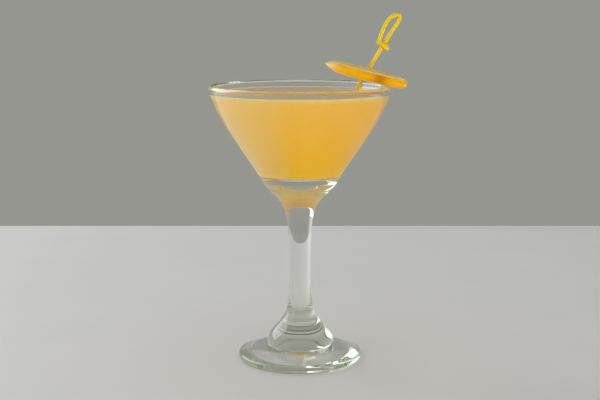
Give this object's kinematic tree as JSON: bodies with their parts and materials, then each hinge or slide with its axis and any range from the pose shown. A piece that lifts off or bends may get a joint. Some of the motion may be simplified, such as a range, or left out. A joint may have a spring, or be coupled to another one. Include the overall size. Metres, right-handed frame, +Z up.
{
  "type": "martini cocktail",
  "caption": "Stemmed cocktail glass filled with a cloudy orange drink, with a citrus wheel on a knotted pick lying across the rim.",
  "frame": {"origin": "middle of the foot's flat underside, on the glass's axis", "axes": "+Z up along the glass's axis, +X towards the side of the rim where the garnish lies, +Y away from the camera"},
  "size_m": [0.1183, 0.1092, 0.2106],
  "materials": {
    "clear_glass": "clear pressed glass, fire polished",
    "orange_drink": "cloudy yellow-orange liquid with a glossy surface",
    "citrus": "waxy orange rind, pale pith and moist flesh",
    "bamboo": "yellow dyed bamboo with fine lengthwise fibres"
  },
  "bodies": {
    "root": {"glass": "clear_glass", "drink": "orange_drink", "citrus_wheel": "citrus", "pick": "bamboo"}
  },
  "joints": []
}
